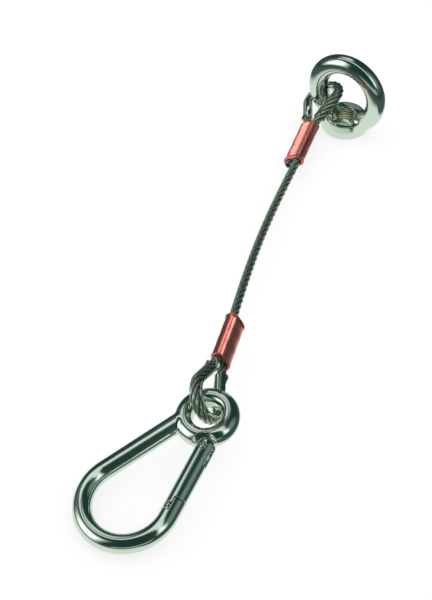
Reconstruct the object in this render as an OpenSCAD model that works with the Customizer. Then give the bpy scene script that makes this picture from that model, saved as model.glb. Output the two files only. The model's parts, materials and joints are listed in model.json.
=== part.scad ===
// Wire-rope safety lanyard: an eye nut, a steel rope with a pressed thimble eye at each end, a snap hook.
// Frame: origin at the centre of the eye nut's seat face, +Z up along its thread, millimetres.
// The lanyard lies on the plane z = 0 as it would on a bench, with the eye nut standing on its seat.

/* [Eye nut] */
// Mean radius of the lifting ring
ring_r = 21; // [20:0.5:24]
// Radius of the ring's round bar
ring_bar_r = 6; // [5.5:0.1:6.2]
// Height of the ring's centre above the seat
ring_h = 26; // [25:0.5:28]
// Radius of the collar
collar_r = 15; // [14:0.5:17]
// Height of the collar, which is also the length of the thread
collar_h = 10.3; // [9:0.1:11]
// Minor radius of the M12 thread
thread_r = 5.1; // [5:0.05:5.2]
// Heading of the ring's plane
ring_turn = -34.5; // [-40:0.5:-30]

/* [Rope] */
// Radius of the wire rope
rope_r = 2.5; // [2.3:0.1:2.5]
// Radius of the core strand
core_r = 0.83; // [0.7:0.01:0.83]
// Length of dead end that shows behind each ferrule
tail_stub = 2.5; // [1:0.5:4]

/* [Thimble eyes] */
// Radius of the rope's centre line round the thimble
eye_r = 11.5; // [11.4:0.1:11.6]
// Distance from the crown's centre to the ferrule
eye_reach = 27.5; // [27:0.5:30]
// Thickness of the thimble's sheet
thimble_t = 1; // [0.8:0.1:1.1]
// How far the thimble's flanges rise past the rope's centre
flange_rise = 0.6; // [0:0.1:1.5]
// Crown centre of the upper eye
upper_at = [-14, 9.4, 15.7];
// Heading, rise and roll of the upper eye
upper_turn = [69.8, 6.2, -29.8];
// Crown centre of the lower eye
lower_at = [-87.56, -257.42, 24.95];
// Heading, rise and roll of the lower eye
lower_turn = [-104.2, 4.43, 121];

/* [Ferrules] */
// Length of a ferrule
ferrule_l = 34; // [30:0.5:36]
// Half the distance between the two rope bores
bore_offset = 2.65; // [2.62:0.01:2.8]
// Wall around each rope bore
ferrule_wall = 1.4; // [1.1:0.1:1.6]

/* [Snap hook] */
// Radius of the hook's round bar
bar_r = 5; // [4.8:0.1:5.1]
// Radius of the big end's centre line
bend_r = 22.7; // [22:0.1:23.5]
// Angle between each leg and the hook's axis
leg_angle = 15.2; // [14.5:0.1:15.5]
// Distance from the big end's centre to the eyelet's centre
hook_reach = 60.1; // [59.5:0.1:61]
// Mean radius of the eyelet
eyelet_r = 11.7; // [11.6:0.1:12]
// Radius of the eyelet's forged bar
eyelet_bar_r = 5.3; // [5.2:0.1:5.5]
// Radius of the eyelet's bore
eyelet_bore_r = 7.75; // [7.6:0.05:7.9]
// Heading of the hook's axis, from its big end to its eyelet
hook_heading = 47.96; // [45:0.01:50]
// Rise of the hook's axis towards its eyelet
hook_rise = 12.59; // [12:0.01:13]

/* [Gate] */
// Distance of the hinge pin from the big end's centre, along the hook's axis
pin_x = 45.2; // [44.8:0.1:45.6]
// Radius of the hinge pin
pin_r = 1.5; // [1.3:0.1:1.6]
// Radius of the cross pin in the nose
nose_pin_r = 1.3; // [1.1:0.1:1.4]
// Distance from the hinge pin to the cross pin
nose_pin_u = 35.6; // [35.2:0.1:36]
// Length of the gate's outer half, from the hinge pin
gate_l = 31; // [30.5:0.1:31.2]
// Length of the gate's cheeks, from the hinge pin
cheek_l = 38.2; // [38:0.1:38.3]
// Thickness of the frame's tang and tenon
tang_t = 4; // [3.6:0.1:4.2]
// Radius of the gate's spring bore
spring_bore_r = 2; // [1.9:0.05:2.1]
// Radius of the spring's wire
wire_r = 0.25; // [0.2:0.05:0.3]
// Turns in the spring
spring_turns = 9; // [7:1:11]

/* [Hidden] */
$fn = 96;

// Lap of a straight length inside a bend, and how much thinner the straight length is
lap = 0.3;
step_in = 0.03;

// Clearances
running = 0.05;
snug = 0.01;
side_gap = 0.12;
end_gap = 0.3;
plunger_gap = 0.08;
pin_inset = 0.1;

// How far a cutting shape runs past what it cuts, where there is room and where there is little
over = 20;
past = 1;

// Colours
steel = "silver";
rope_grey = "darkseagreen";
copper = "salmon";

// Directions: a frame's X axis from its heading and rise, and its Y axis after a roll about X
function frame_x(turn) = [
    cos(turn[1]) * cos(turn[0]),
    cos(turn[1]) * sin(turn[0]),
    sin(turn[1]),
];
function level_y(turn) = [-sin(turn[0]), cos(turn[0]), 0];
function frame_y(turn) =
    cos(turn[2]) * level_y(turn) + sin(turn[2]) * cross(frame_x(turn), level_y(turn));

// Places children in a frame: X along the heading and rise, turned about X by the roll
module in_frame(at, turn) {
    translate(at) rotate([turn[2], -turn[1], turn[0]]) children();
}

// Eye nut: edges of the collar, and the spot face cut into the ring above the thread
seat_chamfer = 0.8;
land_drop = 2.2;
land_edge = 1.6;
spot_r = thread_r + 3;
spot_h = 4;

// Eye geometry, in the eye's own frame: origin at the crown's centre, X to the crown, legs at +Y and -Y
bend_l = 1.3;
kink_x = eye_reach - bend_l;
leg_turn = asin(eye_r / norm([kink_x, bore_offset])) - atan2(bore_offset, kink_x);
leg_top = [-eye_r * sin(leg_turn), eye_r * cos(leg_turn)];
leg_bend_r = bend_l / tan(leg_turn / 2);
leg_end = [leg_bend_r * sin(leg_turn) - eye_reach, bore_offset + leg_bend_r * (1 - cos(leg_turn))];
leg_l = norm(leg_end - leg_top);
thimble_in = rope_r + 0.1;
thimble_out = thimble_in + thimble_t;
tip_share = 0.84;

// Main rope: a curve from the upper ferrule to the lower one, with hinge points along it
main_side = [-1, 1];
rope_start = upper_at - (eye_reach + ferrule_l) * frame_x(upper_turn)
    + main_side[0] * bore_offset * frame_y(upper_turn);
rope_finish = lower_at - (eye_reach + ferrule_l) * frame_x(lower_turn)
    + main_side[1] * bore_offset * frame_y(lower_turn);
live_l = 20;
handle = 55;
bow = [-2.3, 0, 0];
rope_bend_a = rope_start - handle * frame_x(upper_turn) + bow;
rope_bend_b = rope_finish - handle * frame_x(lower_turn) + bow;
function rope_point(t) =
    pow(1 - t, 3) * rope_start + 3 * pow(1 - t, 2) * t * rope_bend_a
    + 3 * (1 - t) * t * t * rope_bend_b + pow(t, 3) * rope_finish;
hinges = [
    rope_start - live_l * frame_x(upper_turn),
    rope_point(0.38),
    rope_point(0.62),
    rope_finish - live_l * frame_x(lower_turn),
];
hinge_gap = 0.12;
end_steps = 4;

// Hook geometry, in the hook's own frame: origin at the big end's centre, X to the eyelet, spine at +Y
hook_turn = [hook_heading, hook_rise, 0];
hook_at = [-126.69, -312.92, bar_r + bend_r * sin(hook_rise)];
leg_start = [bend_r * sin(leg_angle), bend_r * cos(leg_angle)];
spine_l = 47.5;
pin_y = -leg_start[1] + (pin_x - leg_start[0]) * tan(leg_angle);
nose_u = (pin_x - leg_start[0]) / cos(leg_angle);
nose_pin_v = 1.2;
nose_pin_inset = 0.8;
chamfer = 1.3;
rim_h = eyelet_bar_r - 1.6 * chamfer;

// Gate geometry, in the gate's own frame: origin at the hinge pin, X (u) to the nose, Y (v) inwards
dome_u = -2;
relief_r = 7.3;
lobe_at = [0.5, 1.3];
lobe_r = 3.4;
lobe_t = tang_t - pin_inset;
slot_end = 5;
tenon_slot_u = gate_l - 0.6;
lip_v = 0.1;
notch_r = nose_pin_r + 0.2;
window_end = 8.9;
plunger_from = lobe_at[0] + lobe_r + plunger_gap;
plunger_to = 11;
plunger_r = spring_bore_r - running;
spring_to = 26;
coil_r = spring_bore_r - wire_r - 2 * running;

// Places children with their Z axis along the line from a to b
module along(a, b) {
    v = b - a;
    translate(a) rotate([0, acos(v[2] / norm(v)), atan2(v[1], v[0])]) children();
}

// One side of the rope's path round an eye: a leg, its bend into the ferrule and the straight end.
// Straight lengths are a hair thinner than the bends that they run into.
module eye_side(r, straight) {
    translate([leg_top[0], leg_top[1], 0]) rotate([0, 0, 90 + leg_turn]) rotate([-90, 0, 0])
        translate([0, 0, -lap]) cylinder(h = leg_l + 2 * lap, r = r - step_in);
    translate([-eye_reach, bore_offset + leg_bend_r, 0]) rotate([0, 0, -90])
        rotate_extrude(angle = leg_turn) translate([leg_bend_r, 0]) circle(r = r);
    translate([lap - eye_reach, bore_offset, 0]) rotate([0, -90, 0])
        cylinder(h = straight + lap, r = r - step_in);
}

// Rope round one eye: the crown, the live side that runs on to the first hinge, and the dead side
module eye_path(r, live_side, live, dead) {
    rotate([0, 0, -90 - leg_turn]) rotate_extrude(angle = 180 + 2 * leg_turn)
        translate([eye_r, 0]) circle(r = r);
    mirror([0, live_side < 0 ? 1 : 0, 0]) eye_side(r, live);
    mirror([0, live_side < 0 ? 0 : 1, 0]) eye_side(r, dead);
}

// Outer strands of one eye, hollow for the core
module eye_strands(at, turn, live_side) {
    live = ferrule_l + live_l - rope_r - hinge_gap;
    dead = ferrule_l + tail_stub;
    color(rope_grey) in_frame(at, turn) difference() {
        union() {
            eye_path(rope_r, live_side, live, dead);
            translate([lap - eye_reach - live, live_side * bore_offset, 0])
                sphere(r = rope_r - 2 * step_in);
        }
        eye_path(core_r + snug, live_side, live + 2 * rope_r, dead + past);
    }
}

// Core strand of one eye
module eye_core(at, turn, live_side) {
    live = ferrule_l + live_l - hinge_gap - rope_r / 2;
    color(rope_grey) in_frame(at, turn)
        eye_path(core_r, live_side, live, ferrule_l + tail_stub);
}

// Outer strands of the span between hinges i and i + 1: a tube round the core, its ends rounded off
module span_strands(i) {
    a = hinges[i];
    b = hinges[i + 1];
    end_at = hinge_gap + rope_r;
    start_a = asin((core_r + snug) / rope_r);
    round_off = [
        for (k = [0 : end_steps])
            let (t = start_a + (90 - start_a) * k / end_steps)
                rope_r * [sin(t), -cos(t)]
    ];
    near = [for (p = round_off) [p[0], end_at + p[1]]];
    far = [for (k = [end_steps : -1 : 0]) [round_off[k][0], norm(b - a) - end_at - round_off[k][1]]];
    color(rope_grey) along(a, b) rotate_extrude() polygon(concat(near, far));
}

// Core strand of the same span
module span_core(i) {
    a = hinges[i];
    b = hinges[i + 1];
    end_at = hinge_gap + rope_r / 2;
    color(rope_grey) along(a, b) translate([0, 0, end_at])
        cylinder(h = norm(b - a) - 2 * end_at, r = core_r);
}

// Half-round gutter that carries the rope, opening away from the eye
module gutter_profile(trim) {
    difference() {
        circle(r = thimble_out - trim);
        circle(r = thimble_in + trim);
        translate([flange_rise - trim, -over / 2]) square([over, over]);
    }
}

// Thimble: the gutter bent round the crown, with two straight legs that all but meet in a point
module thimble() {
    rotate([0, 0, -90 - leg_turn]) rotate_extrude(angle = 180 + 2 * leg_turn)
        translate([eye_r, 0]) gutter_profile(0);
    for (side = [0, 1]) mirror([0, side, 0])
        translate([leg_top[0], leg_top[1], 0]) rotate([0, 0, 90 + leg_turn]) rotate([-90, 0, 0])
            translate([0, 0, -lap]) linear_extrude(height = leg_l * tip_share + lap)
                gutter_profile(step_in);
}

// Ferrule: an oval sleeve with one bore for each leg of the rope
module ferrule() {
    wall_r = rope_r + ferrule_wall;
    translate([-eye_reach, 0, 0]) rotate([0, -90, 0]) difference() {
        union() {
            translate([-wall_r, -bore_offset, 0]) cube([2 * wall_r, 2 * bore_offset, ferrule_l]);
            for (side = [-1, 1]) translate([0, side * bore_offset, 0])
                cylinder(h = ferrule_l, r = wall_r);
        }
        for (side = [-1, 1]) translate([0, side * bore_offset, -past])
            cylinder(h = ferrule_l + 2 * past, r = rope_r + snug);
    }
}

module eye_nut() {
    color(steel) difference() {
        union() {
            intersection() {
                rotate([0, 0, ring_turn]) translate([0, 0, ring_h]) rotate([90, 0, 0])
                    rotate_extrude() translate([ring_r, 0]) circle(r = ring_bar_r);
                cylinder(h = 3 * ring_h, r = 2 * ring_r);
            }
            rotate_extrude() polygon([
                [0, 0], [collar_r - seat_chamfer, 0],
                [collar_r, seat_chamfer], [collar_r, collar_h - land_drop],
                [collar_r - land_edge, collar_h], [0, collar_h],
            ]);
        }
        translate([0, 0, -past]) cylinder(h = collar_h + spot_h + past, r = thread_r);
        translate([0, 0, collar_h]) cylinder(h = spot_h, r = spot_r);
    }
}

module upper_thimble() {
    color(steel) in_frame(upper_at, upper_turn) thimble();
}

module upper_ferrule() {
    color(copper) in_frame(upper_at, upper_turn) ferrule();
}

module upper_eye_strands() {
    eye_strands(upper_at, upper_turn, main_side[0]);
}

module upper_eye_core() {
    eye_core(upper_at, upper_turn, main_side[0]);
}

module lower_thimble() {
    color(steel) in_frame(lower_at, lower_turn) thimble();
}

module lower_ferrule() {
    color(copper) in_frame(lower_at, lower_turn) ferrule();
}

module lower_eye_strands() {
    eye_strands(lower_at, lower_turn, main_side[1]);
}

module lower_eye_core() {
    eye_core(lower_at, lower_turn, main_side[1]);
}

// Places children in the gate's frame, inside the hook's frame
module in_gate_frame() {
    in_frame(hook_at, hook_turn) gate_from_hook() children();
}

module gate_from_hook() {
    translate([pin_x, pin_y, 0]) rotate([0, 0, 180 + leg_angle]) mirror([0, 1, 0]) children();
}

// The room that the gate's cheeks need beside the tang or the tenon, on both faces
module cheek_room(from_r, to_r, v_from, v_to) {
    for (side = [0, 1]) mirror([0, 0, side]) translate([0, 0, tang_t / 2]) intersection() {
        difference() {
            cylinder(h = over, r = to_r);
            if (from_r > 0) translate([0, 0, -past])
                cylinder(h = over + 2 * past, r = from_r);
        }
        translate([-relief_r, v_from, -past])
            cube([to_r + relief_r, v_to - v_from, over + 2 * past]);
    }
}

// Section of the eyelet: a round bar, flattened by the bore and chamfered at both of its rims
module eyelet_profile() {
    difference() {
        translate([eyelet_r, 0]) circle(r = eyelet_bar_r);
        translate([0, -over]) square([eyelet_bore_r, 2 * over]);
        for (side = [0, 1]) mirror([0, side])
            polygon([
                [eyelet_bore_r - past, rim_h - past],
                [eyelet_bore_r + 2 * chamfer, rim_h + 2 * chamfer],
                [eyelet_bore_r - past, rim_h + 2 * chamfer],
            ]);
    }
}

module hook_frame() {
    nose_r = gate_l + end_gap;
    ledge_r = cheek_l + end_gap;
    color(steel) in_frame(hook_at, hook_turn) difference() {
        union() {
            // Big end and spine
            rotate([0, 0, 90 - leg_angle]) rotate_extrude(angle = 180 + 2 * leg_angle)
                translate([bend_r, 0]) circle(r = bar_r);
            translate(leg_start) rotate([0, 0, -leg_angle]) rotate([0, 90, 0])
                translate([0, 0, -lap]) cylinder(h = spine_l, r = bar_r - step_in);
            // Eyelet
            translate([hook_reach, 0, 0]) rotate_extrude() eyelet_profile();
            // Nose, up to the gate
            gate_from_hook() intersection() {
                translate([nose_u + lap, 0, 0]) rotate([0, -90, 0])
                    cylinder(h = nose_u - nose_r + past, r = bar_r - step_in);
                difference() {
                    translate([0, 0, -over]) cylinder(h = 2 * over, r = nose_u + over);
                    translate([0, 0, -over - past])
                        cylinder(h = 2 * (over + past), r = nose_r);
                }
            }
            // Lobe of the tang round the hinge pin
            gate_from_hook() translate([lobe_at[0], lobe_at[1], -lobe_t / 2])
                cylinder(h = lobe_t, r = lobe_r);
        }
        gate_from_hook() {
            cheek_room(0, relief_r, -relief_r, relief_r);
            cheek_room(gate_l, ledge_r, -lip_v, bar_r + past);
            translate([0, 0, -over]) cylinder(h = 2 * over, r = pin_r + running);
            translate([nose_pin_u, nose_pin_v, -over]) cylinder(h = 2 * over, r = nose_pin_r + snug);
        }
    }
}

module nose_cross_pin() {
    color(steel) in_gate_frame() translate([nose_pin_u, nose_pin_v, nose_pin_inset - bar_r])
        cylinder(h = 2 * (bar_r - nose_pin_inset), r = nose_pin_r);
}

module gate() {
    slot_t = tang_t + 2 * side_gap;
    color(steel) in_gate_frame() difference() {
        intersection() {
            union() {
                translate([dome_u, 0, 0]) rotate([0, 90, 0])
                    cylinder(h = cheek_l - dome_u, r = bar_r);
                translate([dome_u, 0, 0]) sphere(r = bar_r);
            }
            translate([0, 0, -over]) cylinder(h = 2 * over, r = cheek_l);
        }
        // Outer half, cut back to the nose
        intersection() {
            difference() {
                translate([0, 0, -over]) cylinder(h = 2 * over, r = cheek_l + over);
                translate([0, 0, -over - past]) cylinder(h = 2 * (over + past), r = gate_l);
            }
            translate([0, lip_v - over, -over - past]) cube([3 * over, over, 2 * (over + past)]);
        }
        // Slots for the tang and for the nose's tenon
        translate([-over, -over, -slot_t / 2]) cube([over + slot_end, 2 * over, slot_t]);
        translate([tenon_slot_u, -over, -slot_t / 2]) cube([over, 2 * over, slot_t]);
        // Window over the plunger, on the gate's outer side
        translate([slot_end - past, -over, -slot_t / 2])
            cube([window_end - slot_end + past, over, slot_t]);
        // Notches that catch the cross pin
        translate([nose_pin_u, nose_pin_v, -over]) cylinder(h = 2 * over, r = notch_r);
        translate([nose_pin_u - notch_r, nose_pin_v - over, -over])
            cube([2 * notch_r, over, 2 * over]);
        translate([0, 0, -over]) cylinder(h = 2 * over, r = pin_r + snug);
        translate([slot_end - past, 0, 0]) rotate([0, 90, 0])
            cylinder(h = spring_to - slot_end + past, r = spring_bore_r);
    }
}

module gate_hinge_pin() {
    color(steel) in_gate_frame() translate([0, 0, pin_inset - bar_r])
        cylinder(h = 2 * (bar_r - pin_inset), r = pin_r);
}

module spring_plunger() {
    color(steel) in_gate_frame() translate([plunger_from, 0, 0]) rotate([0, 90, 0])
        cylinder(h = plunger_to - plunger_from, r = plunger_r);
}

// Helical spring along X: rings of points round the coil's centre line, joined into one closed skin
module coil(from, to, radius, wire, turns) {
    steps = 16 * turns;
    sides = 8;
    pitch = (to - from - 2 * wire) / turns;
    points = [
        for (i = [0 : steps])
            let (a = 360 * turns * i / steps, x = from + wire + pitch * turns * i / steps)
                for (j = [0 : sides - 1])
                    let (b = 360 * j / sides, rho = radius + wire * cos(b))
                        [x + wire * sin(b), rho * cos(a), rho * sin(a)]
    ];
    skin = [
        for (i = [0 : steps - 1]) for (j = [0 : sides - 1])
            let (k = (j + 1) % sides)
                [i * sides + j, (i + 1) * sides + j, (i + 1) * sides + k, i * sides + k]
    ];
    first = [for (j = [0 : sides - 1]) j];
    last = [for (j = [0 : sides - 1]) steps * sides + sides - 1 - j];
    polyhedron(points = points, faces = concat(skin, [first], [last]));
}

module gate_spring() {
    color(steel) in_gate_frame()
        coil(plunger_to + running, spring_to - running, coil_r, wire_r, spring_turns);
}

eye_nut();
upper_thimble();
upper_ferrule();
upper_eye_strands();
upper_eye_core();
span_strands(0);  // span_1_strands
span_core(0);  // span_1_core
span_strands(1);  // span_2_strands
span_core(1);  // span_2_core
span_strands(2);  // span_3_strands
span_core(2);  // span_3_core
lower_thimble();
lower_ferrule();
lower_eye_strands();
lower_eye_core();
hook_frame();
nose_cross_pin();
gate();
gate_hinge_pin();
gate_spring();
spring_plunger();
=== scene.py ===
"""Looks of a wire-rope lanyard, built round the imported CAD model. Lengths in the geometry are millimetres."""

import json
import math

import bmesh
import bpy
import numpy as np
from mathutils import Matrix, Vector


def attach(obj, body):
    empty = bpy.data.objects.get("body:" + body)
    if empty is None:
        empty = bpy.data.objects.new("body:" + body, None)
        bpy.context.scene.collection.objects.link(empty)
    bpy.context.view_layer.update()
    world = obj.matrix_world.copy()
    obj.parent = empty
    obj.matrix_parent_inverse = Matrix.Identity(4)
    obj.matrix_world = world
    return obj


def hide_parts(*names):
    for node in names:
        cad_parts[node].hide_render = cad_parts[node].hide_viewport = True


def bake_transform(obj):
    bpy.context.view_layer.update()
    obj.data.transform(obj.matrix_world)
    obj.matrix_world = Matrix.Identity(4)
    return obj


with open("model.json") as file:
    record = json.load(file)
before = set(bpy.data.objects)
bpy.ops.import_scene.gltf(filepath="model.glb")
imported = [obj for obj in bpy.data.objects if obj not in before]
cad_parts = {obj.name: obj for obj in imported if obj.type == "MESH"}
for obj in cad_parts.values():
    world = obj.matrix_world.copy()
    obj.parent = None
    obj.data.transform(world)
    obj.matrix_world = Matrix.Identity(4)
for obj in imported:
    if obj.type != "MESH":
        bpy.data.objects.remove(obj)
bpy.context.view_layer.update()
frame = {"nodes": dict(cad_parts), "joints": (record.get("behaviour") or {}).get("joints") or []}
JOINTS = {j["name"]: j for j in frame["joints"]}
MM = 0.001


# ---------------------------------------------------------------- frames taken from the CAD model
def unit(v):
    v = np.array(v, float)
    return v / np.linalg.norm(v)


def joint_at(name):
    return np.array(JOINTS[name]["pos_m"], float) / MM


def joint_axis(name):
    return unit(JOINTS[name]["axis"])


def solid_axes(node):
    """Centre of volume of a closed CAD mesh and its principal axes, longest first."""
    mesh = frame["nodes"][node].data
    mesh.calc_loop_triangles()
    co = np.array([v.co for v in mesh.vertices], float) / MM
    tri = co[np.array([t.vertices for t in mesh.loop_triangles])]
    middle = co.mean(0)
    a, b, c = (tri[:, k] - middle for k in range(3))
    volume = np.einsum("ij,ij->i", a, np.cross(b, c)) / 6
    total = a + b + c
    centre = (volume[:, None] * total).sum(0) / 4 / volume.sum()
    second = np.zeros((3, 3))
    for v in (total, a, b, c):
        second += np.einsum("i,ij,ik->jk", volume, v, v) / 20
    second = second / volume.sum() - np.outer(centre, centre)
    values, vectors = np.linalg.eigh(second)
    return middle + centre, vectors[:, ::-1].T


class Frame:
    """A right-handed frame: origin and rows X, Y, Z."""

    def __init__(self, origin, x, y):
        self.origin = np.array(origin, float)
        x = unit(x)
        z = unit(np.cross(x, y))
        self.axes = np.array([x, np.cross(z, x), z])

    def out(self, points):
        return self.origin + np.asarray(points) @ self.axes


FERRULE_L = 34.0
EYE_REACH = 27.5
EYE_R = 11.5
BORE_OFFSET = 2.65
WALL_R = 3.9
ROPE_R = 2.5
TAIL_STUB = 2.5
LEG_BEND = 1.3


def eye_frame(end, hinge):
    """Frame of one eye: origin at the crown's centre, X to the crown, Y to the side of the live rope."""
    centre, axes = solid_axes(end + "_ferrule")
    crown, _ = solid_axes(end + "_thimble")
    x = axes[0] * np.sign(axes[0] @ (crown - centre))
    y = axes[1] * np.sign(axes[1] @ (joint_at(hinge) - centre))
    return Frame(centre + (EYE_REACH + FERRULE_L / 2) * x, x, y)


UPPER = eye_frame("upper", "rope_bend_1")
LOWER = eye_frame("lower", "rope_bend_4")

LEG_ANGLE = math.radians(15.2)
BEND_R = 22.7
BAR_R = 5.0
PIN_X = 45.2
HOOK_REACH = 60.1
LEG_START = np.array([BEND_R * math.sin(LEG_ANGLE), BEND_R * math.cos(LEG_ANGLE)])
PIN_Y = -LEG_START[1] + (PIN_X - LEG_START[0]) * math.tan(LEG_ANGLE)
PIN_AT = joint_at("gate_swing")
GATE_U = joint_axis("plunger_slide")
HOOK_Z = -joint_axis("gate_swing")
across = np.cross(HOOK_Z, GATE_U)
hook_x = -math.cos(LEG_ANGLE) * GATE_U + math.sin(LEG_ANGLE) * across
hook_y = np.cross(HOOK_Z, hook_x)
HOOK = Frame(PIN_AT - PIN_X * hook_x - PIN_Y * hook_y, hook_x, hook_y)


# ---------------------------------------------------------------- mesh helpers
def new_object(name, points, faces, smooth=True, normals=None):
    mesh = bpy.data.meshes.new(name)
    mesh.from_pydata((np.asarray(points) * MM).tolist(), [], faces)
    mesh.validate()
    mesh.update()
    if smooth:
        mesh.polygons.foreach_set("use_smooth", [True] * len(mesh.polygons))
    if normals is not None:
        mesh.normals_split_custom_set_from_vertices(normals.tolist())
    obj = bpy.data.objects.new(name, mesh)
    bpy.context.scene.collection.objects.link(obj)
    return obj


def grid_faces(rings, sides):
    """Quads between rings of points, with an end cap on the first and the last ring."""
    i, j = np.meshgrid(np.arange(rings - 1), np.arange(sides), indexing="ij")
    k = (j + 1) % sides
    quads = np.stack([i * sides + j, i * sides + k, (i + 1) * sides + k, (i + 1) * sides + j], -1)
    faces = quads.reshape(-1, 4).tolist()
    faces.append([sides - 1 - side for side in range(sides)])
    faces.append([(rings - 1) * sides + side for side in range(sides)])
    return faces


def sweep(rings):
    """Points and faces of one closed skin through rings of points, shape (rings, sides, 3)."""
    rings = np.asarray(rings)
    return rings.reshape(-1, 3), grid_faces(rings.shape[0], rings.shape[1])


def join(parts):
    """Several (points, faces) as one."""
    points, faces, first = [], [], 0
    for p, f in parts:
        points.append(p)
        faces.extend([[first + i for i in face] for face in f])
        first += len(p)
    return np.concatenate(points), faces


def sharpen_caps(obj, cap_sides):
    """End caps are flat, and their rims are sharp."""
    mesh = obj.data
    caps = [p for p in mesh.polygons if len(p.vertices) >= cap_sides]
    rims = set()
    for p in caps:
        p.use_smooth = False
        rims.update(tuple(sorted(k)) for k in p.edge_keys)
    attribute = mesh.attributes.get("sharp_edge") or mesh.attributes.new("sharp_edge", "BOOLEAN", "EDGE")
    attribute.data.foreach_set("value", [tuple(sorted(e.vertices)) in rims for e in mesh.edges])


def recalc(obj):
    """Faces point outwards."""
    bm = bmesh.new()
    bm.from_mesh(obj.data)
    bmesh.ops.recalc_face_normals(bm, faces=bm.faces)
    bm.to_mesh(obj.data)
    bm.free()


def smin(a, b, k):
    """Smaller of two distances, with a fillet about k wide."""
    h = np.maximum(k - np.abs(a - b), 0) / k
    return np.minimum(a, b) - h * h * k / 4


def smax(a, b, k):
    return -smin(-a, -b, k)


CORNERS = np.array([[i, j, k] for i in (0, 1) for j in (0, 1) for k in (0, 1)])
CELL_EDGES = [(a, b) for a in CORNERS for b in CORNERS if (b - a).sum() == 1 and (b - a).min() == 0]
FIELD_PARTS = 8
NEWTON_STEPS = 5
NEWTON_REACH = 0.4
FLATTEST_SLOPE = 0.2
TINY = 1e-9


def skin(field, low, high, step):
    """Closed quad skin of field(points) = 0 in a box, and its normals; every point is put on the surface."""
    low, high = np.array(low, float), np.array(high, float)
    size = np.ceil((high - low) / step).astype(int) + 1
    axes = [low[k] + step * np.arange(size[k]) for k in range(3)]
    grid = np.stack(np.meshgrid(*axes, indexing="ij"), -1).reshape(-1, 3)
    d = np.concatenate([field(part) for part in np.array_split(grid, FIELD_PARTS)]).reshape(size)
    inside = d < 0
    count = sum(
        inside[a[0]: size[0] - 1 + a[0], a[1]: size[1] - 1 + a[1], a[2]: size[2] - 1 + a[2]].astype(int)
        for a in CORNERS
    )
    mixed = (count > 0) & (count < 8)
    number = -np.ones(size - 1, int)
    number[mixed] = np.arange(mixed.sum())
    cells = np.argwhere(mixed)
    total, hits = np.zeros((len(cells), 3)), np.zeros(len(cells))
    for a, b in CELL_EDGES:
        da, db = d[tuple((cells + a).T)], d[tuple((cells + b).T)]
        cut = (da < 0) != (db < 0)
        t = np.where(cut, da / np.where(cut, da - db, 1), 0)
        total += cut[:, None] * (cells + a + t[:, None] * (b - a))
        hits += cut
    points = low + step * total / hits[:, None]
    for _ in range(NEWTON_STEPS):
        g = slope(field, points)
        move = field(points)[:, None] * g / np.maximum((g * g).sum(1), FLATTEST_SLOPE)[:, None]
        length = np.linalg.norm(move, axis=1, keepdims=True)
        points = points - move * np.minimum(1, NEWTON_REACH * step / np.maximum(length, TINY))
    g = slope(field, points)
    normals = g / np.maximum(np.linalg.norm(g, axis=1, keepdims=True), TINY)
    quads = []
    for k in range(3):
        a, b = np.eye(3, dtype=int)[(k + 1) % 3], np.eye(3, dtype=int)[(k + 2) % 3]
        near = np.take(inside, range(size[k] - 1), k)
        far = np.take(inside, range(1, size[k]), k)
        at = np.argwhere(near != far)
        at = at[(at @ a > 0) & (at @ b > 0)]
        q = np.stack([number[tuple((at - o).T)] for o in (a + b, b, 0 * a, a)], -1)
        flip = far[tuple(at.T)]
        q[flip] = q[flip][:, ::-1]
        quads.append(q)
    return points, np.concatenate(quads).tolist(), normals


def slope(field, points, e=0.02):
    return np.stack([(field(points + e * v) - field(points - e * v)) / (2 * e) for v in np.eye(3)], -1)


def field_object(name, field, low, high, step, place):
    """A piece from a distance field given in the frame place."""
    points, faces, normals = skin(field, low, high, step)
    return new_object(name, place.out(points), faces, normals=normals @ place.axes)


def lathe(name, profile, place, sides=48):
    """A closed solid of revolution about a frame's Z axis, from (radius, z) points that end on the axis."""
    profile = np.array(profile, float)
    a = np.arange(sides) * 2 * math.pi / sides
    inner = profile[1:-1]
    rings = np.stack([
        inner[:, None, 0] * np.cos(a), inner[:, None, 0] * np.sin(a),
        np.repeat(inner[:, 1:2], sides, 1)], -1)
    points = np.concatenate([rings.reshape(-1, 3), [[0, 0, profile[0, 1]], [0, 0, profile[-1, 1]]]])
    n = len(inner)
    faces = grid_faces(n, sides)[:-2]
    low, high = n * sides, n * sides + 1
    for j in range(sides):
        k = (j + 1) % sides
        faces.append([low, k, j])
        faces.append([high, (n - 1) * sides + j, (n - 1) * sides + k])
    return new_object(name, place.out(points), faces)


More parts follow.
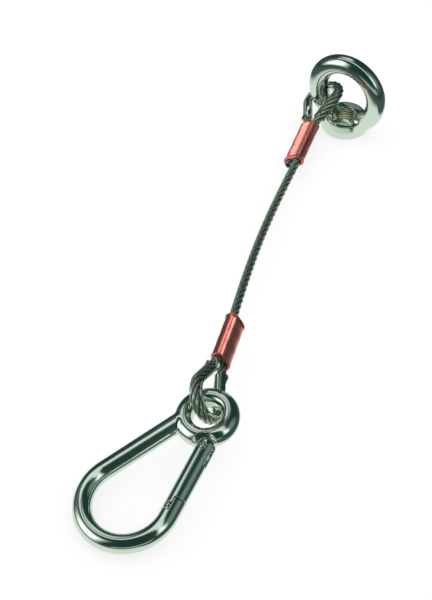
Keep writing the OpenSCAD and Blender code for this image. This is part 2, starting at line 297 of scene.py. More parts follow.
# ---------------------------------------------------------------- materials
class Tree:
    """A node tree, with short ways to add nodes whose inputs are linked or set in order."""

    def __init__(self, owner):
        owner.use_nodes = True
        self.nodes = owner.node_tree.nodes
        self.links = owner.node_tree.links

    def feed(self, value, socket):
        if hasattr(value, "is_output"):
            self.links.new(value, socket)
        else:
            socket.default_value = value

    def add(self, node_type, *inputs, **settings):
        node = self.nodes.new(node_type)
        for key, value in settings.items():
            setattr(node, key, value)
        for socket, value in zip(node.inputs, inputs):
            self.feed(value, socket)
        return node

    def math(self, operation, *inputs):
        return self.add("ShaderNodeMath", *inputs, operation=operation).outputs[0]

    def dot(self, a, b):
        return self.add("ShaderNodeVectorMath", a, b, operation="DOT_PRODUCT").outputs["Value"]

    def spread(self, value, low, high, to_low, to_high, how="SMOOTHSTEP"):
        """Carries low..high over to to_low..to_high, and holds the ends."""
        node = self.add("ShaderNodeMapRange", value, low, high, to_low, to_high, interpolation_type=how)
        return node.outputs["Result"]

    def mix(self, share, a, b, blend="MIX"):
        node = self.add("ShaderNodeMix", data_type="RGBA", blend_type=blend)
        for value, socket in ((share, 0), (a, 6), (b, 7)):
            self.feed(value, node.inputs[socket])
        return node.outputs[2]

    def ramp(self, value, *stops, how="LINEAR"):
        """Colour ramp through two stops (position, colour)."""
        node = self.add("ShaderNodeValToRGB", value)
        node.color_ramp.interpolation = how
        for element, (position, colour) in zip(node.color_ramp.elements, stops):
            element.position = position
            element.color = (*colour, 1)
        return node.outputs["Color"]


COARSE_SHARE = 1 / 6
GRAIN_RANGE = (0.3, 0.7)
LEAST_ROUGHNESS = 0.02
BUMP_DEPTH = 0.0001


def material(name, base, roughness, metallic=1.0, vary=0.0, grain=400.0, bump=0.0, rough_vary=0.0,
             hollow_shade=None, attribute=None):
    """Metal with mottled colour, uneven gloss and a fine bump; an attribute can paint shade into hollows,
    mixing the colour towards a dark shade colour where it is low.
    """
    mat = bpy.data.materials.new(name)
    tree = Tree(mat)
    bsdf = tree.nodes["Principled BSDF"]
    bsdf.inputs["Metallic"].default_value = metallic
    place = tree.add("ShaderNodeTexCoord").outputs["Object"]
    coarse, fine = (tree.add("ShaderNodeTexNoise", place) for _ in range(2))
    for noise, scale, detail in ((coarse, grain * COARSE_SHARE, 4), (fine, grain, 6)):
        noise.inputs["Scale"].default_value = scale
        noise.inputs["Detail"].default_value = detail
    low, high = ([min(1, c * share) for c in base] for share in (1 - vary, 1 + vary))
    colour = tree.mix(coarse.outputs["Fac"], (*low, 1), (*high, 1))
    # Painted shade: where the attribute is low the colour is mixed towards the dark shade colour
    if attribute:
        unshaded_share = tree.add("ShaderNodeAttribute", attribute_name=attribute).outputs["Fac"]
        colour = tree.mix(unshaded_share, (*hollow_shade, 1), colour)
    gloss = tree.spread(fine.outputs["Fac"], *GRAIN_RANGE, max(LEAST_ROUGHNESS, roughness - rough_vary),
                        roughness + rough_vary, how="LINEAR")
    bumper = tree.add("ShaderNodeBump")
    bumper.inputs["Strength"].default_value = bump
    bumper.inputs["Distance"].default_value = BUMP_DEPTH
    tree.feed(fine.outputs["Fac"], bumper.inputs["Height"])
    tree.feed(colour, bsdf.inputs["Base Color"])
    tree.feed(gloss, bsdf.inputs["Roughness"])
    tree.feed(bumper.outputs["Normal"], bsdf.inputs["Normal"])
    return mat


STEEL = material("polished_steel", (0.80, 0.84, 0.77), 0.105, vary=0.03, bump=0.006, rough_vary=0.02)
SATIN = material("satin_steel", (0.62, 0.66, 0.60), 0.2, vary=0.08, bump=0.12, rough_vary=0.06, grain=900)
THREAD = material("thread_steel", (0.60, 0.58, 0.43), 0.25, vary=0.12, bump=0.2, rough_vary=0.08, grain=900)
SPRING = material("spring_wire", (0.5, 0.52, 0.48), 0.25, vary=0.1, bump=0.1, rough_vary=0.08, grain=900)
COPPER = material("pressed_copper", (1.0, 0.29, 0.25), 0.31, metallic=0.93, vary=0.05, bump=0.008,
                  rough_vary=0.02, grain=500)
# The rope's colour is mixed towards near-black by its crest attribute: painted shade in the hollows between
# strands and in the grooves between wires
ROPE = material("rope_wires", (0.74, 0.80, 0.66), 0.3, metallic=0.85, vary=0.12, bump=0.04, rough_vary=0.08,
                grain=900, hollow_shade=(0.012, 0.018, 0.012), attribute="crest")


def finish_piece(obj, mat, body=None):
    obj.data.materials.append(mat)
    if body:
        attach(obj, body)
    return obj


# ---------------------------------------------------------------- the rope's centre line
def arc_points(centre, radius, start, turn, n):
    a = start + turn * np.linspace(0, 1, n)
    return np.stack([centre[0] + radius * np.cos(a), centre[1] + radius * np.sin(a), 0 * a], -1)


BEND_POINTS = 12
CROWN_POINTS = 90
LEG_TURN = math.asin(EYE_R / math.hypot(EYE_REACH - LEG_BEND, BORE_OFFSET)) - math.atan2(
    BORE_OFFSET, EYE_REACH - LEG_BEND)
LEG_TOP = np.array([-EYE_R * math.sin(LEG_TURN), EYE_R * math.cos(LEG_TURN), 0])
LEG_BEND_R = LEG_BEND / math.tan(LEG_TURN / 2)
LEG_END = np.array([LEG_BEND_R * math.sin(LEG_TURN) - EYE_REACH,
                    BORE_OFFSET + LEG_BEND_R * (1 - math.cos(LEG_TURN)), 0])


def crown_points():
    return arc_points((0, 0), EYE_R, math.pi / 2 + LEG_TURN, -math.pi - 2 * LEG_TURN, CROWN_POINTS)


def eye_line():
    """Rope round one eye in its own frame, from the dead end to the ferrule's far face on the live side."""
    side = [np.array([[-EYE_REACH - FERRULE_L, BORE_OFFSET, 0]])]
    side.append(arc_points((-EYE_REACH, BORE_OFFSET + LEG_BEND_R), LEG_BEND_R, -math.pi / 2,
                           LEG_TURN, BEND_POINTS))
    side.append(LEG_TOP[None])
    half = np.concatenate(side)
    crown = crown_points()[1:-1]
    dead = half * [1, -1, 1]
    dead[0, 0] -= TAIL_STUB
    return np.concatenate([dead, crown * [1, -1, 1], half[::-1]])


def resample(line, spacing):
    length = np.r_[0, np.cumsum(np.linalg.norm(np.diff(line, axis=0), axis=1))]
    s = np.arange(0, length[-1], spacing)
    return np.stack([np.interp(s, length, line[:, k]) for k in range(3)], -1)


# The free rope: a curve from ferrule to ferrule, its handles' length and its sideways bow
HANDLE = 55
BOW = np.array([-2.3, 0, 0])
CURVE_POINTS = 400
SMOOTHINGS = 12
upper_line = UPPER.out(eye_line())
lower_line = LOWER.out(eye_line())[::-1]
rope_a, rope_b = upper_line[-1], lower_line[0]
t = np.linspace(0, 1, CURVE_POINTS)[1:-1, None]
free_line = ((1 - t) ** 3 * rope_a + 3 * (1 - t) ** 2 * t * (rope_a - HANDLE * UPPER.axes[0] + BOW)
             + 3 * (1 - t) * t * t * (rope_b - HANDLE * LOWER.axes[0] + BOW) + t ** 3 * rope_b)
STEP = 0.2
LINE = resample(np.concatenate([upper_line, free_line, lower_line]), STEP)
for _ in range(SMOOTHINGS):
    LINE[1:-1] = LINE[1:-1] / 2 + (LINE[:-2] + LINE[2:]) / 4
LINE_S = np.r_[0, np.cumsum(np.linalg.norm(np.diff(LINE, axis=0), axis=1))]
TANGENT = np.gradient(LINE, axis=0)
TANGENT /= np.linalg.norm(TANGENT, axis=1, keepdims=True)
SIDE = np.zeros_like(LINE)
SIDE[0] = UPPER.axes[2]
for i in range(1, len(LINE)):
    v = SIDE[i - 1] - (SIDE[i - 1] @ TANGENT[i]) * TANGENT[i]
    SIDE[i] = v / np.linalg.norm(v)


def nearest_s(point):
    return LINE_S[np.argmin(np.linalg.norm(LINE - point, axis=1))]


def line_at(s):
    centre = np.stack([np.interp(s, LINE_S, LINE[:, k]) for k in range(3)], -1)
    tangent = np.stack([np.interp(s, LINE_S, TANGENT[:, k]) for k in range(3)], -1)
    tangent /= np.linalg.norm(tangent, axis=1, keepdims=True)
    side = np.stack([np.interp(s, LINE_S, SIDE[:, k]) for k in range(3)], -1)
    side -= (side * tangent).sum(1, keepdims=True) * tangent
    side /= np.linalg.norm(side, axis=1, keepdims=True)
    return centre, tangent, side, np.cross(tangent, side)


STRANDS = 6
STRAND_R = ROPE_R / 3
CORE_R = 0.98 * STRAND_R
LAY_R = ROPE_R - STRAND_R
LAY = 31.0
WIRES = 8
WIRE_POINTS = 4
WIRE_DEPTH = 0.09
WIRE_RATE = 2 * math.pi * LAY_R / LAY / STRAND_R
EYE_GROWTH = 0.12
GROWTH_RUN = 7
CORE_SIDES = 12
STRAND_FULLNESS = 1.03
WIRE_SHARPNESS = 0.7
# Painted shade in the rope's hollows: depth from which a wire starts to show, the depth over which it comes
# clear, and the least that a wire shows, in the grooves between wires
HOLLOW_AT = 0.68
HOLLOW_RUN = 0.31
WIRE_GLOOM = 0.45


def in_eye(s, place):
    """How far the strands open up at the stations s: 1 in the legs and the crown, 0 from the ferrule on."""
    x = (line_at(s)[0] - place.origin) @ place.axes[0]
    t = np.clip((x + EYE_REACH - 1) / GROWTH_RUN, 0, 1)
    return t * t * (3 - 2 * t)


def rope_rings(s):
    """Skins of the strands and the core between the stations s, and for each point how far it is out of the
    painted shade in the rope's hollows (0 in full shade, 1 on a crest).
    """
    centre, tangent, side, other = line_at(s)
    grow = 1 + EYE_GROWTH * np.maximum(in_eye(s, UPPER), in_eye(s, LOWER))
    sides = WIRES * WIRE_POINTS
    a0 = np.arange(sides) * 2 * math.pi / sides
    groove = 1 - np.abs(np.cos(WIRES / 2 * a0)) ** WIRE_SHARPNESS
    shape = STRAND_R * (STRAND_FULLNESS - WIRE_DEPTH * groove)
    parts, crest = [], []
    for k in range(STRANDS):
        phi = 2 * math.pi * (s / LAY + k / STRANDS)
        radial = np.cos(phi)[:, None] * side + np.sin(phi)[:, None] * other
        around = -np.sin(phi)[:, None] * side + np.cos(phi)[:, None] * other
        along = tangent + 2 * math.pi * LAY_R / LAY * around
        along /= np.linalg.norm(along, axis=1, keepdims=True)
        e2 = np.cross(along, radial)
        angle = a0[None] - WIRE_RATE * s[:, None]
        ring = (centre + (grow * LAY_R)[:, None] * radial)[:, None] + (grow[:, None] * shape)[..., None] * (
            np.cos(angle)[..., None] * radial[:, None] + np.sin(angle)[..., None] * e2[:, None])
        parts.append(sweep(ring))
        # Painted shade: points deep between the strands and in the grooves between wires get a low crest value,
        # which darkens their colour
        depth = np.linalg.norm(ring - centre[:, None], axis=2)
        depth = np.clip((depth / grow[:, None] - HOLLOW_AT * ROPE_R) / (HOLLOW_RUN * ROPE_R), 0, 1)
        wire = WIRE_GLOOM + (1 - WIRE_GLOOM) * (shape - shape.min()) / (shape.max() - shape.min())
        crest.append((depth * wire[None]).ravel())
    b = np.arange(CORE_SIDES) * 2 * math.pi / CORE_SIDES
    core = centre[:, None] + CORE_R * (
        np.cos(b)[None, :, None] * side[:, None] + np.sin(b)[None, :, None] * other[:, None])
    parts.append(sweep(core))
    # The core gets crest 0: it is painted all in shade
    crest.append(np.zeros(core.shape[0] * CORE_SIDES))
    return parts, np.concatenate(crest)


def rope_piece(name, at):
    parts, crest = rope_rings(np.asarray(at))
    points, faces = join(parts)
    obj = new_object(name, points, faces)
    sharpen_caps(obj, CORE_SIDES)
    # The crest attribute carries the painted shade of the rope's hollows to the rope material
    attribute = obj.data.attributes.new("crest", "FLOAT", "POINT")
    attribute.data.foreach_set("value", crest.astype(np.float32))
    return finish_piece(obj, ROPE)


# Spacing of the rope's rings in sight and inside a ferrule, and how far into a ferrule counts as in sight
RING_GAP = 0.45
HIDDEN_GAP = 1.5
HIDE = 5.0


def stations(start, end, spacing):
    return np.linspace(start, end, max(2, int(math.ceil((end - start) / spacing)) + 1))


def stretch(*runs):
    """Stations over consecutive runs (start, end, spacing)."""
    return np.unique(np.concatenate([stations(*r) for r in runs]).round(6))


total_s = LINE_S[-1]
upper_exit = nearest_s(rope_a)
lower_entry = nearest_s(rope_b)
hinge_s = [nearest_s(joint_at("rope_bend_%d" % i)) for i in (1, 2, 3, 4)]
upper_eye_rope = rope_piece("rope_upper_eye", stretch(
    (0, TAIL_STUB + HIDE, RING_GAP),
    (TAIL_STUB + HIDE, TAIL_STUB + FERRULE_L - HIDE, HIDDEN_GAP),
    (TAIL_STUB + FERRULE_L - HIDE, upper_exit - FERRULE_L + HIDE, RING_GAP),
    (upper_exit - FERRULE_L + HIDE, upper_exit - HIDE, HIDDEN_GAP)))
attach(upper_eye_rope, "upper_eye")
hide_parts("upper_eye_strands", "upper_eye_core")
lower_eye_rope = rope_piece("rope_lower_eye", stretch(
    (lower_entry + HIDE, lower_entry + FERRULE_L - HIDE, HIDDEN_GAP),
    (lower_entry + FERRULE_L - HIDE, total_s - TAIL_STUB - FERRULE_L + HIDE, RING_GAP),
    (total_s - TAIL_STUB - FERRULE_L + HIDE, total_s - TAIL_STUB - HIDE, HIDDEN_GAP),
    (total_s - TAIL_STUB - HIDE, total_s, RING_GAP)))
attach(lower_eye_rope, "lower_eye")
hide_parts("lower_eye_strands", "lower_eye_core")

cuts = [upper_exit - HIDE] + [(hinge_s[i] + hinge_s[i + 1]) / 2 for i in range(3)] + [lower_entry + HIDE]
for i in range(4):
    piece = rope_piece("rope_free_%d" % (i + 1), stations(cuts[i], cuts[i + 1], RING_GAP))
    ends, direction, _, _ = line_at(np.array([hinge_s[i]]))
    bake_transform(piece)
    if i < 3:
        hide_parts("span_%d_strands" % (i + 1), "span_%d_core" % (i + 1))


# ---------------------------------------------------------------- thimbles and ferrules
THIMBLE_IN = 2.6
THIMBLE_T = 1.0
FLANGE_RISE = 1.1
RIM_BEAD = 0.5
TIP_SHARE = 0.84
GUTTER_POINTS = 18
RIM_POINTS = 9
LEG_POINTS = 26
TIP_RISE = -2.2
TIP_RUN = 7.0


def gutter(rise):
    """Section of the gutter: (outward, across) points round a half-round channel with rounded rims."""
    mid_r = THIMBLE_IN + THIMBLE_T / 2
    top = math.acos(np.clip(-rise / mid_r, -1, 1))
    a = np.linspace(top, 2 * math.pi - top, GUTTER_POINTS)
    bead = RIM_BEAD * (np.abs(a - math.pi) / (math.pi - top)) ** 4
    outer = [((mid_r + THIMBLE_T / 2 + b) * math.cos(x), (mid_r + THIMBLE_T / 2 + b) * math.sin(x))
             for x, b in zip(a, bead)]
    inner = [((mid_r - THIMBLE_T / 2) * math.cos(x), (mid_r - THIMBLE_T / 2) * math.sin(x)) for x in a[::-1]]

    def rim(at, start, turn):
        c = ((mid_r + RIM_BEAD / 2) * math.cos(at), (mid_r + RIM_BEAD / 2) * math.sin(at))
        b = start + turn * np.linspace(0, 1, RIM_POINTS)[1:-1]
        half = (THIMBLE_T + RIM_BEAD) / 2
        return [(c[0] + half * math.cos(x), c[1] + half * math.sin(x)) for x in b]

    low = rim(a[-1], a[-1], math.pi)
    high = rim(a[0], a[0] + math.pi, math.pi)
    return np.array(outer + low + inner + high)


def thimble(name, node, place, body):
    tip = LEG_TOP + TIP_SHARE * (LEG_END - LEG_TOP)
    leg_line = LEG_TOP + np.linspace(0, 1, LEG_POINTS)[:, None] * (tip - LEG_TOP)
    line = np.concatenate([leg_line[::-1], crown_points()[1:-1], leg_line * [1, -1, 1]])
    tangent = np.gradient(line, axis=0)
    tangent /= np.linalg.norm(tangent, axis=1, keepdims=True)
    outward = np.cross(tangent, [0, 0, 1.0])
    outward *= np.sign((outward * line).sum(1))[:, None]
    s = np.r_[0, np.cumsum(np.linalg.norm(np.diff(line, axis=0), axis=1))]
    rings = []
    for p, o, edge in zip(line, outward, np.minimum(s, s[-1] - s)):
        fade = min(1.0, edge / TIP_RUN)
        section = gutter(TIP_RISE + (FLANGE_RISE - TIP_RISE) * fade * (2 - fade))
        rings.append(p + section[:, :1] * o + section[:, 1:] * np.array([0, 0, 1.0]))
    points, faces = sweep(np.array(rings))
    obj = new_object(name, place.out(points), faces)
    sharpen_caps(obj, GUTTER_POINTS)
    recalc(obj)
    finish_piece(obj, STEEL, body)
    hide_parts(node)


# Lips of a ferrule: how far each stands out and opens, and where and over what length it does
TAIL_LIP = (0.45, 0.55, 0.7, 1.1)
HEAD_LIP = (0.15, 0.3, 0.5, 0.9)
# Pressing marks along a ferrule: their height and their rate
PRESS = (0.05, 0.55)
END_ROUND = 0.9
BORE_ROUND = 0.35
BORE_R_AT_ROPE = ROPE_R + 0.03
FERRULE_STEP = 0.36


def ferrule_field(p):
    x = p[:, 0] + EYE_REACH + FERRULE_L / 2
    tail = np.exp(-((x + FERRULE_L / 2 - TAIL_LIP[2]) / TAIL_LIP[3]) ** 2)
    head = np.exp(-((x - FERRULE_L / 2 + HEAD_LIP[2]) / HEAD_LIP[3]) ** 2)
    wave = PRESS[0] * (np.sin(x * PRESS[1]) - 1)
    wall = WALL_R + TAIL_LIP[0] * tail + HEAD_LIP[0] * head + wave
    body = np.hypot(smax(np.abs(p[:, 1]) - BORE_OFFSET, 0 * x, WALL_R), p[:, 2]) - wall
    body = smax(body, np.abs(x) - FERRULE_L / 2, END_ROUND)
    bore = BORE_R_AT_ROPE + TAIL_LIP[1] * tail ** 2 + HEAD_LIP[1] * head ** 2
    bore -= np.hypot(np.abs(p[:, 1]) - BORE_OFFSET, p[:, 2])
    return smax(body, bore, BORE_ROUND)


def ferrule(name, node, place, body):
    margin = np.array([1, 1.5, 1.5])
    low = np.array([-EYE_REACH - FERRULE_L, -BORE_OFFSET - WALL_R, -WALL_R]) - margin
    high = np.array([-EYE_REACH, BORE_OFFSET + WALL_R, WALL_R]) + margin
    obj = field_object(name, ferrule_field, low, high, FERRULE_STEP, place)
    finish_piece(obj, COPPER, body)
    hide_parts(node)


for end, place in (("upper", UPPER), ("lower", LOWER)):
    thimble(end + "_thimble_channel", end + "_thimble", place, end + "_eye")
    ferrule(end + "_ferrule_pressed", end + "_ferrule", place, end + "_eye")


# ---------------------------------------------------------------- eye nut
RING_R = 21.0
RING_BAR_R = 6.0
RING_H = 26.0
COLLAR_R = 15.0
COLLAR_H = 10.3
LAND_R = 13.1
BORE_R = 6.1
SPOT_R = 8.2
SPOT_TOP = 18
SEAT_EDGE = 0.8
LAND_EDGE = 2.0
FORGE_FILLET = 3.2
MOUTH_FLARE = 0.7
NUT_STEP = 0.42
level = joint_axis("upper_eye_swing") * [1, 1, 0]
NUT = Frame((0, 0, 0), unit(level), np.cross((0, 0, 1.0), unit(level)))


def nut_field(p):
    rho = np.hypot(p[:, 0], p[:, 1])
    z = p[:, 2]
    ring = np.hypot(np.hypot(p[:, 0], z - RING_H) - RING_R, p[:, 1]) - RING_BAR_R
    lean = math.atan2(COLLAR_R - LAND_R, COLLAR_H - LAND_EDGE)
    cone = (rho - COLLAR_R) * math.cos(lean) + (z - LAND_EDGE) * math.sin(lean)
    collar = smax(smax(cone, rho - COLLAR_R, SEAT_EDGE), z - COLLAR_H, LAND_EDGE)
    foot = (rho - COLLAR_R + SEAT_EDGE - z) * math.sqrt(0.5)
    collar = smax(smax(collar, foot, 0.4), -z, 0.4)
    ring = smax(ring, -smax(rho - SPOT_R, z - SPOT_TOP, 1.0), 1.4)
    body = smax(smin(ring, collar, FORGE_FILLET), -z, 0.4)
    flare = np.clip(MOUTH_FLARE - np.abs(COLLAR_H - z), 0, None)
    bore = smax(rho - BORE_R - flare, z - COLLAR_H - 4, 0.3)
    return smax(body, -bore, 0.25)


nut = field_object("eye_nut_forged", nut_field, (-28, -16, -1), (28, 16, 54), NUT_STEP, NUT)
finish_piece(nut, STEEL, "eye_nut")
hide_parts("eye_nut")

PITCH = 1.75
THREAD_SIDES = 72
THREAD_ENDS = (0.9, 1.0)
THREAD_FADE = 30
THREAD_DEPTH = 0.95
ROOT_LAP = 0.12
ROOT_HALF = 0.78
CREST_HALF = 0.11


def thread():
    """Helical ridge of the M12 thread, tapering out at both ends."""
    n = int((COLLAR_H - sum(THREAD_ENDS)) / PITCH * THREAD_SIDES)
    root = BORE_R + ROOT_LAP
    rings = []
    for i in range(n + 1):
        a = 2 * math.pi * i / THREAD_SIDES
        z = THREAD_ENDS[0] + PITCH * i / THREAD_SIDES
        crest = BORE_R - 0.02 - THREAD_DEPTH * min(1.0, i / THREAD_FADE, (n - i) / THREAD_FADE)
        outline = [(root, -ROOT_HALF), (root, ROOT_HALF), (crest, CREST_HALF), (crest, -CREST_HALF)]
        rings.append([[r * math.cos(a), r * math.sin(a), z + dz] for r, dz in outline])
    points, faces = sweep(np.array(rings))
    obj = new_object("eye_nut_thread", NUT.out(points), faces, smooth=False)
    recalc(obj)
    finish_piece(obj, THREAD, "eye_nut")


thread()


# ---------------------------------------------------------------- snap hook
TANG_T = 4.0
EYELET_R = 11.7
EYELET_BAR_R = 5.3
EYELET_BORE_R = 7.75
CHAMFER = 1.3
EYELET_RIM = EYELET_BAR_R - 1.6 * CHAMFER
SPINE_L = 47.5
SPINE_LAP = 2
POINT = 0.01
NOSE_LAP = 0.2
NOSE_FROM = 20
PIN_R = 1.5
PIN_GAP = 0.05
SNUG = 0.01
NOSE_PIN = np.array([35.6, 1.2])
NOSE_PIN_R = 1.3
GATE_L = 31.0
CHEEK_L = 38.2
END_GAP = 0.3
LOBE_AT = (0.5, 1.3)
LOBE_R = 3.4
LOBE_INSET = 0.05
RELIEF_R = 7.3
LIP_V = 0.1
# Widths of the rounding on the parts' edges, on their pin holes, and where the eyelet meets the bar
EDGE = 0.3
HOLE_EDGE = 0.15
WELD = 0.9
HOOK_STEP = 0.38


def to_gate(p):
    """Hook frame to gate frame: u along the gate to the nose, v inwards."""
    x, y = p[:, 0] - PIN_X, p[:, 1] - PIN_Y
    c, s = math.cos(LEG_ANGLE), math.sin(LEG_ANGLE)
    return -x * c - y * s, -x * s + y * c


def segment_distance(p, a, b):
    a, b = np.array([*a, 0.0]), np.array([*b, 0.0])
    d = b - a
    t = np.clip((p - a) @ d / (d @ d), 0, 1)
    return np.linalg.norm(p - a - t[:, None] * d, axis=1)


def hook_field(p):
    c, s = math.cos(LEG_ANGLE), math.sin(LEG_ANGLE)
    z = p[:, 2]
    rho = np.hypot(p[:, 0], p[:, 1])
    angle = np.arctan2(p[:, 1], p[:, 0])
    bend = np.hypot(rho - BEND_R, z) - BAR_R
    gap = np.minimum(segment_distance(p, LEG_START, LEG_START + POINT),
                     segment_distance(p, LEG_START * [1, -1], LEG_START * [1, -1] + POINT)) - BAR_R
    bend = np.where(np.abs(angle) > math.pi / 2 - LEG_ANGLE, bend, gap)
    spine = segment_distance(p, LEG_START, LEG_START + (SPINE_L - SPINE_LAP) * np.array([c, -s])) - BAR_R
    nose_u = (PIN_X - LEG_START[0]) / c
    u, v = to_gate(p)
    from_pin = np.hypot(u, v)
    nose = np.maximum(np.hypot(v, z) - BAR_R, u - nose_u - NOSE_LAP)
    nose = smax(nose, GATE_L + END_GAP - from_pin, 0.5)
    nose = np.maximum(nose, NOSE_FROM - u)
    bar = np.minimum(np.minimum(bend, spine), nose)
    flat = np.hypot(p[:, 0] - HOOK_REACH, p[:, 1])
    eyelet = np.hypot(flat - EYELET_R, z) - EYELET_BAR_R
    eyelet = smax(eyelet, EYELET_BORE_R - flat, 0.25)
    eyelet = smax(eyelet, (np.abs(z) - EYELET_RIM - (flat - EYELET_BORE_R)) * math.sqrt(0.5), EDGE)
    lobe = smax(np.hypot(u - LOBE_AT[0], v - LOBE_AT[1]) - LOBE_R, np.abs(z) - TANG_T / 2 + LOBE_INSET, EDGE)
    body = smin(bar, eyelet, WELD)
    body = smax(body, EYELET_BORE_R - flat, 0.25)
    body = smax(body, -smax(from_pin - RELIEF_R, TANG_T / 2 - np.abs(z), EDGE), EDGE)
    body = smin(body, lobe, 0.2)
    ledge_end = CHEEK_L + END_GAP
    ledge = np.maximum(np.abs(from_pin - (GATE_L + ledge_end) / 2) - (ledge_end - GATE_L) / 2,
                       TANG_T / 2 - np.abs(z))
    ledge = np.maximum(ledge, -LIP_V - v)
    ledge = np.maximum(ledge, v - BAR_R - 1)
    body = smax(body, -ledge, EDGE)
    body = smax(body, PIN_R + PIN_GAP - from_pin, HOLE_EDGE)
    return smax(body, NOSE_PIN_R + SNUG - np.hypot(u - NOSE_PIN[0], v - NOSE_PIN[1]), HOLE_EDGE)


hook = field_object("hook_forged", hook_field, (-29, -29, -6.5), (79, 29, 6.5), HOOK_STEP, HOOK)
finish_piece(hook, STEEL, "hook")
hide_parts("hook_frame")

GATE = Frame(PIN_AT, GATE_U, -across)
DOME_U = -2
SIDE_GAP = 0.12
SLOT_END = 5
TENON_SLOT = GATE_L - 0.6
WINDOW_END = 8.9
NOTCH_R = NOSE_PIN_R + 0.2
COUNTERSINK = 0.35
SPRING_BORE_R = 2.0
SPRING_BORE = (4, 26)
GATE_STEP = 0.3


def gate_field(p):
    u, v, w = p[:, 0], p[:, 1], p[:, 2]
    from_pin = np.hypot(u, v)
    bar = np.where(u > DOME_U, np.hypot(v, w), np.sqrt((u - DOME_U) ** 2 + v ** 2 + w ** 2)) - BAR_R
    body = smax(bar, from_pin - CHEEK_L, 0.5)
    body = smax(body, -np.maximum(GATE_L - from_pin, v - LIP_V), EDGE)
    slot = np.abs(w) - TANG_T / 2 - SIDE_GAP
    body = smax(body, -np.maximum(slot, u - SLOT_END), EDGE)
    body = smax(body, -np.maximum(slot, TENON_SLOT - u), EDGE)
    body = smax(body, -np.maximum(np.maximum(slot, u - WINDOW_END), v), EDGE)
    notch = np.hypot(u - NOSE_PIN[0], v - NOSE_PIN[1]) - NOTCH_R
    notch = np.minimum(notch, np.maximum(np.abs(u - NOSE_PIN[0]) - NOTCH_R, v - NOSE_PIN[1]))
    body = smax(body, -notch, 0.2)
    body = smax(body, PIN_R + SNUG - from_pin, HOLE_EDGE)
    sink = PIN_R + COUNTERSINK - from_pin - np.maximum(BAR_R - COUNTERSINK - np.abs(w), 0)
    body = smax(body, sink * 0.7, 0.1)
    bore = np.maximum(SPRING_BORE[0] - u, u - SPRING_BORE[1])
    bore = np.maximum(np.hypot(v, w) - SPRING_BORE_R, bore)
    return smax(body, -bore, HOLE_EDGE)


gate = field_object("gate_barrel", gate_field, (-8, -6, -6), (40, 6, 6), GATE_STEP, GATE)
finish_piece(gate, STEEL, "gate")
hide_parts("gate")

PIN_DOME = 0.55
DOME_POINTS = 8


def pin(name, node, at, radius, half, body):
    """Domed pin across the gate, at the point (u, v)."""
    place = Frame(GATE.out([*at, 0]), GATE.axes[0], GATE.axes[1])
    top = [(radius * math.sin(a), half - PIN_DOME + PIN_DOME * math.cos(a))
           for a in np.linspace(math.pi / 2, 0, DOME_POINTS)]
    profile = [(r, -z) for r, z in top[::-1]] + top
    obj = lathe(name, profile, place)
    finish_piece(obj, SATIN, body)
    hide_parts(node)


pin("hinge_pin_riveted", "gate_hinge_pin", (0, 0), PIN_R, 5.3, "gate")
pin("cross_pin_riveted", "nose_cross_pin", NOSE_PIN, NOSE_PIN_R, 4.75, "hook")

SPRING_FROM = 11.05
SPRING_TO = 25.95
COIL_R = 1.65
WIRE_R = 0.25
TURNS = 9
TURN_POINTS = 24
WIRE_SIDES = 10


def spring():
    """Coil between the plunger and the end of its bore."""
    a = np.linspace(0, 2 * math.pi * TURNS, TURN_POINTS * TURNS + 1)[:, None]
    b = np.arange(WIRE_SIDES)[None] * 2 * math.pi / WIRE_SIDES
    u = SPRING_FROM + WIRE_R + (SPRING_TO - SPRING_FROM - 2 * WIRE_R) * a / a[-1] + WIRE_R * np.sin(b)
    rho = COIL_R + WIRE_R * np.cos(b)
    points, faces = sweep(np.stack([u, rho * np.cos(a), rho * np.sin(a)], -1))
    obj = new_object("gate_spring_coil", GATE.out(points), faces)
    recalc(obj)
    sharpen_caps(obj, WIRE_SIDES)
    finish_piece(obj, SPRING)
    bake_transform(obj)
    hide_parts("gate_spring")


spring()
plunger = frame["nodes"]["spring_plunger"]
plunger.data.materials.clear()
plunger.data.materials.append(SATIN)

# ---------------------------------------------------------------- floor, sky, lights and camera
FLOOR = 1.6
SHADE_REACH = 0.025
SHADE_DEPTH = 0.78
corners = [(-FLOOR, -FLOOR, 0), (FLOOR, -FLOOR, 0), (FLOOR, FLOOR, 0), (-FLOOR, FLOOR, 0)]
floor_mesh = bpy.data.meshes.new("floor")
floor_mesh.from_pydata(corners, [], [(0, 1, 2, 3)])
floor = bpy.data.objects.new("floor", floor_mesh)
floor.location = (-0.08, -0.16, 0)
bpy.context.scene.collection.objects.link(floor)

# The camera sees the floor as white paper, shaded near the object. The steel sees it bright near by and dark
# far off, dimmer at grazing angles, and falling off sooner for rays that run against EDGE_WAY.
MIRROR_REACH = 0.3
NEAR_FLOOR = (0.14, (0.74, 0.83, 0.76))
FAR_FLOOR = (0.27, (0.06, 0.10, 0.09))
GRAZE = 0.3
GRAZE_LIGHT = 0.3
EDGE_WAY = (-0.94, 0.34, 0)
EDGE_FALL = 2.6
floor_material = bpy.data.materials.new("floor")
tree = Tree(floor_material)
tree.nodes.clear()
occlusion = tree.add("ShaderNodeAmbientOcclusion", samples=8)
occlusion.inputs["Distance"].default_value = SHADE_REACH
shade = tree.spread(occlusion.outputs["AO"], 0, 1, SHADE_DEPTH, 1, how="LINEAR")
paper = tree.add("ShaderNodeBsdfTransparent", shade).outputs["BSDF"]
path = tree.add("ShaderNodeLightPath")
incoming = tree.add("ShaderNodeNewGeometry").outputs["Incoming"]
sooner = tree.spread(tree.dot(incoming, EDGE_WAY), 0.42, 0.8, 1, EDGE_FALL)
reach = tree.math("MULTIPLY", path.outputs["Ray Length"], sooner)
fall = tree.ramp(tree.math("MULTIPLY", reach, 1 / MIRROR_REACH), NEAR_FLOOR, FAR_FLOOR, how="EASE")
height = tree.add("ShaderNodeSeparateXYZ", incoming).outputs["Z"]
dim = tree.spread(height, 0, GRAZE, GRAZE_LIGHT, 1, how="LINEAR")
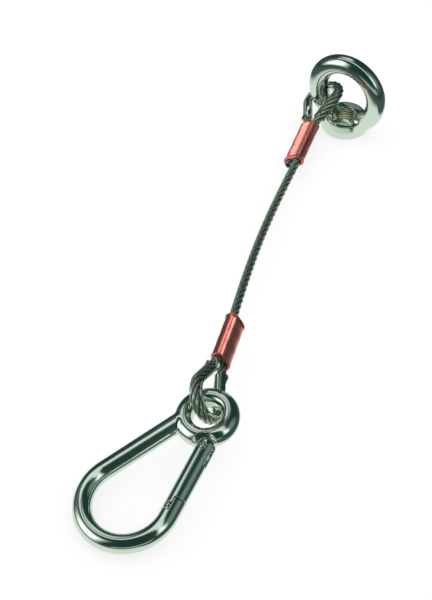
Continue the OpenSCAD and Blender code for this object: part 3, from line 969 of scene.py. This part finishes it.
mirrored = tree.add("ShaderNodeEmission", fall, dim).outputs["Emission"]
surface = tree.add("ShaderNodeMixShader", path.outputs["Is Camera Ray"], mirrored, paper).outputs["Shader"]
tree.add("ShaderNodeOutputMaterial", surface)
floor_mesh.materials.append(floor_material)

world = bpy.data.worlds.new("studio")
bpy.context.scene.world = world
tree = Tree(world)
way = tree.add("ShaderNodeTexCoord").outputs["Generated"]
split = tree.add("ShaderNodeSeparateXYZ", way)
azimuth = tree.math("ARCTAN2", split.outputs["X"], split.outputs["Y"])
elevation = tree.math("ARCSINE", split.outputs["Z"])


def glow_box(total, az, half_az, el, half_el, soft, colour):
    """Adds a soft-edged bright rectangle of sky: azimuth from +Y towards +X, elevation up, in degrees."""
    turn = tree.math("WRAP", tree.math("SUBTRACT", azimuth, math.radians(az)), math.pi, -math.pi)
    rise = tree.math("SUBTRACT", elevation, math.radians(el))
    shares = [
        tree.spread(tree.math("ABSOLUTE", offset), math.radians(half - soft / 2),
                    math.radians(half + soft / 2), 1, 0)
        for offset, half in ((turn, half_az), (rise, half_el))
    ]
    return tree.mix(tree.math("MULTIPLY", *shares), total, (*colour, 1), blend="ADD")


sky = tree.ramp(split.outputs["Z"], (0.0, (0.05, 0.085, 0.075)), (0.3, (0.015, 0.043, 0.039)))
# Softboxes: azimuth, half width, elevation, half height, softness, colour
SKY = [
    (-98, 20, 27, 22, 26, (1.5, 1.62, 1.54)),
    (-8, 18, 53, 14, 20, (0.62, 0.71, 0.64)),
    (128, 10, 33, 13, 12, (0.85, 1.00, 0.93)),
    (106, 24, 35, 22, 28, (0.15, 0.21, 0.195)),
    (180, 34, 3, 8, 12, (0.30, 0.38, 0.32)),
    (-62, 14, 30, 16, 20, (0.08, 0.11, 0.10)),
]
for entry in SKY:
    sky = glow_box(sky, *entry)
# A long strip light from the far left over the object: its edges, and the heights at which it fades in
STRIP_AZ = math.radians(-47)
STRIP_EDGES = (0.055, 0.095)
STRIP_HEIGHTS = (0.60, 0.75)
STRIP_COLOUR = (0.75, 0.83, 0.78, 1)
strip_side = tree.dot(way, (math.cos(STRIP_AZ), -math.sin(STRIP_AZ), 0))
strip = tree.spread(tree.math("ABSOLUTE", strip_side), *STRIP_EDGES, 1, 0)
strip = tree.math("MULTIPLY", strip, tree.spread(split.outputs["Z"], *STRIP_HEIGHTS, 0, 1))
sky = tree.mix(strip, sky, STRIP_COLOUR, blend="ADD")
# The camera sees white paper wherever it looks past the object
PAPER = (1.02, 1.02, 1.02, 1)
sky = tree.mix(tree.add("ShaderNodeLightPath").outputs["Is Camera Ray"], sky, PAPER)
tree.feed(sky, tree.nodes["Background"].inputs["Color"])


def area_light(name, aim, azimuth, elevation, distance, size, radiance, receivers=()):
    """Square light facing the point aim, from an azimuth (from +Y towards +X) and elevation, in degrees."""
    az, el = math.radians(azimuth), math.radians(elevation)
    way = Vector((math.cos(el) * math.sin(az), math.cos(el) * math.cos(az), math.sin(el)))
    data = bpy.data.lights.new(name, "AREA")
    data.shape = "SQUARE"
    data.size = size
    data.energy = radiance * math.pi * size * size
    obj = bpy.data.objects.new(name, data)
    obj.location = Vector(aim) + distance * way
    obj.rotation_euler = (-way).to_track_quat("-Z", "Y").to_euler()
    bpy.context.scene.collection.objects.link(obj)
    if receivers:
        only = bpy.data.collections.new(name + "_receivers")
        for piece in receivers:
            only.objects.link(bpy.data.objects[piece])
        obj.light_linking.receiver_collection = only
    return obj


middle_of = {end: solid_axes(end + "_ferrule")[0] * MM for end in ("upper", "lower")}
fill = area_light("fill", (-0.06, -0.15, 0.02), -84, 43, 1.2, 0.5, 14)
fill.visible_glossy = False
area_light("upper_glint", middle_of["upper"], -28, 15, 0.5, 0.11, 3.6, ["upper_ferrule_pressed"])
area_light("upper_edge_glint", middle_of["upper"], 64, 10, 0.5, 0.10, 0.9, ["upper_ferrule_pressed"])
area_light("lower_glint", middle_of["lower"], 46, 20, 0.5, 0.15, 3.8, ["lower_ferrule_pressed"])
area_light("lower_edge_glint", middle_of["lower"], 12, 39, 0.5, 0.20, 1.5, ["lower_ferrule_pressed"])

camera_data = bpy.data.cameras.new("camera")
camera_data.lens = 90.56
camera = bpy.data.objects.new("camera", camera_data)
camera.location = (-0.08295, -0.77404, 0.60190)
camera.rotation_euler = (math.radians(45.55), 0, 0)
bpy.context.scene.collection.objects.link(camera)
bpy.context.scene.camera = camera
bpy.context.scene.view_settings.view_transform = "Standard"

# ---------------------------------------------------------------- last update of the view layer
bpy.context.view_layer.update()
